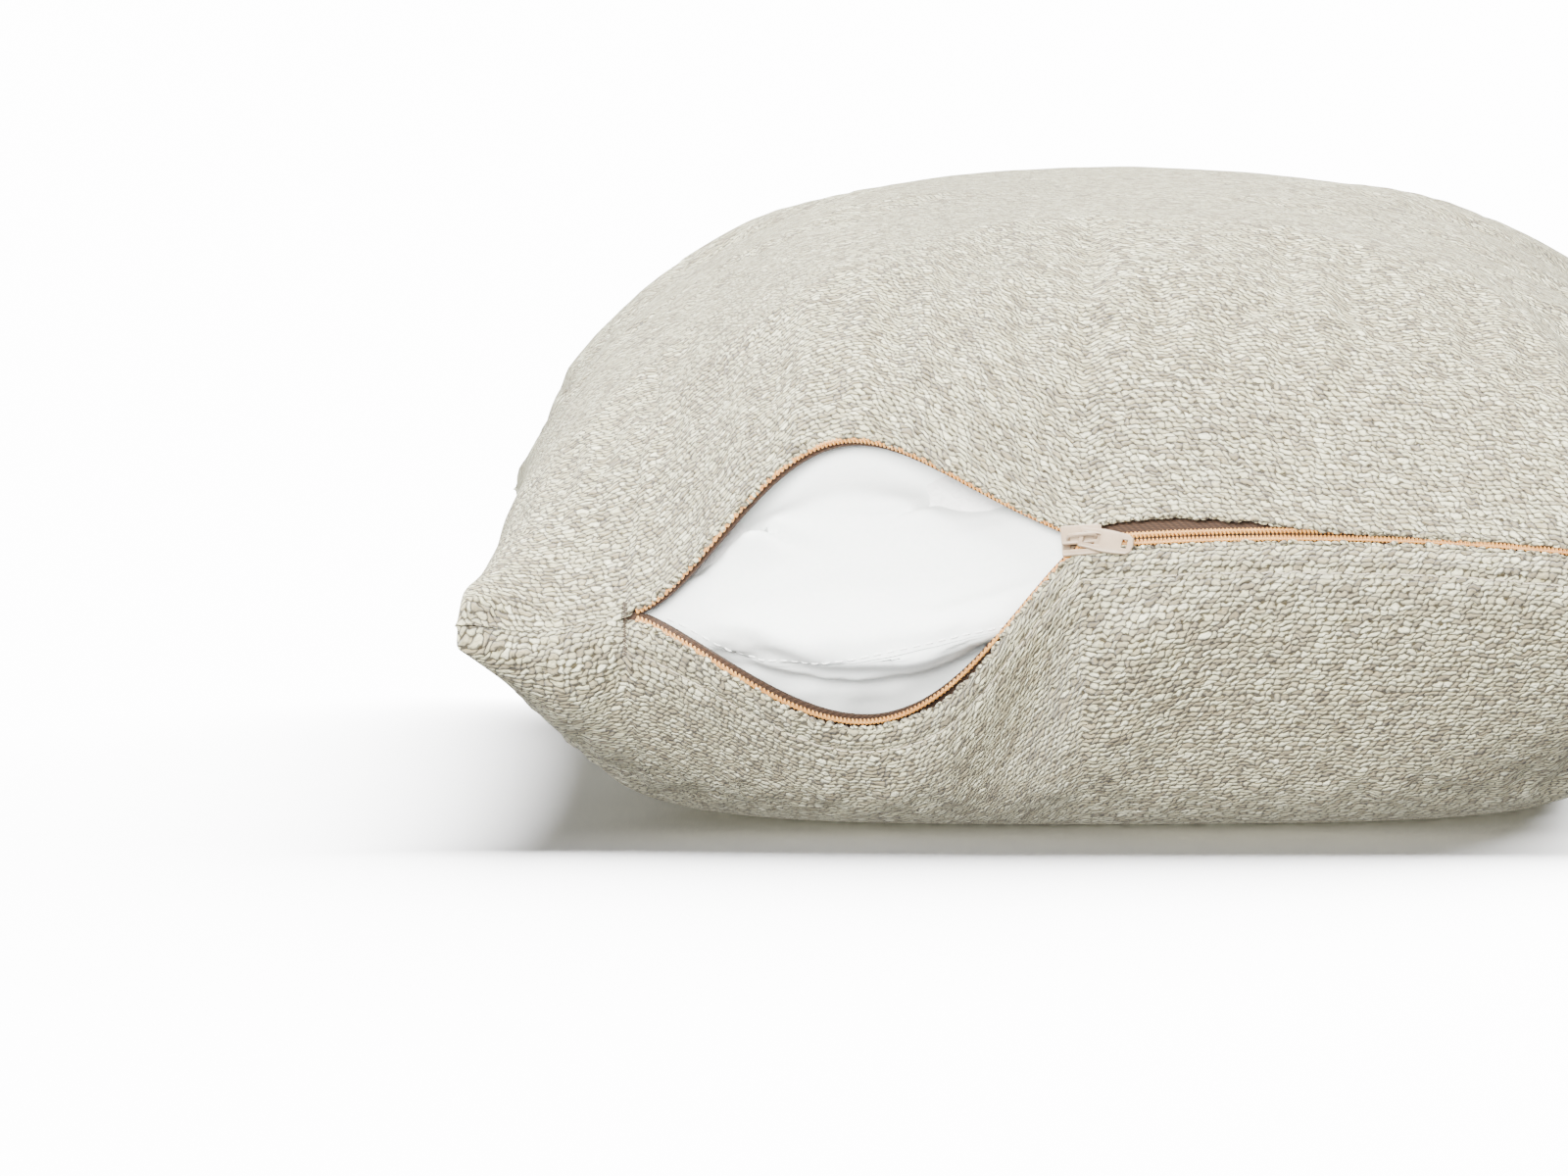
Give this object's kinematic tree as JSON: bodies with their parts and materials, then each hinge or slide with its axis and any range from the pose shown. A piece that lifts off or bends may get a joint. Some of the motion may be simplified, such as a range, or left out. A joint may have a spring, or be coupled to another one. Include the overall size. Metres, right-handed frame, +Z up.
{
  "type": "lumbar support cushion",
  "caption": "Plump rectangular lumbar cushion lying flat, its short-edge zip part open on a white inner case filled with fibre.",
  "frame": {"origin": "middle of the flat underside, on the surface that the cushion lies on", "axes": "+X along the zipped short edge, +Y from the zipped edge to the back edge, +Z up through the crown"},
  "size_m": [0.3, 0.5011, 0.1352],
  "materials": {
    "cover_cloth": "chunky woven cream, beige and warm grey melange, matt",
    "zip_tape": "brown woven polyester tape",
    "zip_coil": "peach nylon monofilament coil",
    "slider_paint": "cream stoved paint on a die-cast slider",
    "sewing_thread": "beige polyester sewing thread",
    "inner_case_cloth": "smooth white non-woven polyester",
    "polyester_fibre": "white hollow fibre filling"
  },
  "bodies": {
    "cushion": {"cover_top_panel": "cover_cloth", "cover_bottom_panel": "cover_cloth", "left_side_seam_thread": "sewing_thread", "right_side_seam_thread": "sewing_thread", "back_seam_thread": "sewing_thread", "front_left_seam_thread": "sewing_thread", "front_right_seam_thread": "sewing_thread", "zip_tape_upper": "zip_tape", "zip_tape_lower": "zip_tape", "zip_coil_upper": "zip_coil", "zip_coil_lower": "zip_coil", "zip_stitching_upper": "sewing_thread", "zip_topstitch_lower": "sewing_thread", "zip_start_bar_tack": "sewing_thread", "zip_end_bar_tack": "sewing_thread", "inner_case_top_panel": "inner_case_cloth", "inner_case_bottom_panel": "inner_case_cloth", "inner_case_left_seam_thread": "sewing_thread", "inner_case_right_seam_thread": "sewing_thread", "inner_case_back_seam_thread": "sewing_thread", "inner_case_closing_stitch": "sewing_thread", "fibre_fill": "polyester_fibre"},
    "slider": {"zip_slider_body": "slider_paint"},
    "pull_tab": {"zip_pull_tab": "slider_paint"}
  },
  "joints": [
    {"name": "zip_travel", "type": "hinge", "parent": "cushion", "child": "slider", "pos_m": [0.038, -0.24083, -0.5373], "axis": [0, 1, 0], "range_deg": [-9.18, 10.89], "deforming": ["zip_coil_upper", "zip_coil_lower", "zip_tape_upper", "zip_tape_lower"]},
    {"name": "pull_tab_swing", "type": "hinge", "parent": "slider", "child": "pull_tab", "pos_m": [-0.00971, -0.24333, 0.06825], "axis": [0.0682, -0.4961, -0.8656], "range_deg": [0, 160]}
  ]
}
